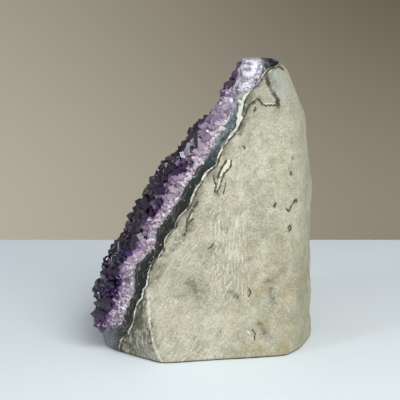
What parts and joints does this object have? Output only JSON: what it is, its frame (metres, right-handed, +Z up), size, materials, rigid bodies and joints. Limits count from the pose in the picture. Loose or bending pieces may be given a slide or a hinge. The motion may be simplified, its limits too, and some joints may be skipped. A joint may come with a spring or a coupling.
{
  "type": "amethyst geode",
  "caption": "Cut-base amethyst geode standing upright: pointed purple crystals on a leaning face, an agate rim and a ground basalt back.",
  "frame": {"origin": "middle of the object's box in plan, on the base plane", "axes": "+Z up, the crystal face looks towards -Y and leans back, the rounded back looks towards +Y, the ground sides look towards +X and -X"},
  "size_m": [0.0948, 0.1254, 0.16],
  "materials": {
    "basalt": "ground matt, fine diagonal scratches, pits and ochre stains",
    "agate": "dark blue-grey chalcedony with pale lines, satin where ground, with a cream outer vein",
    "amethyst": "glossy faceted purple crystals fading to milky lavender and white quartz at the root"
  },
  "bodies": {
    "root": {"basalt_matrix": "basalt", "agate_band": "agate", "amethyst_druse": "amethyst"}
  },
  "joints": []
}
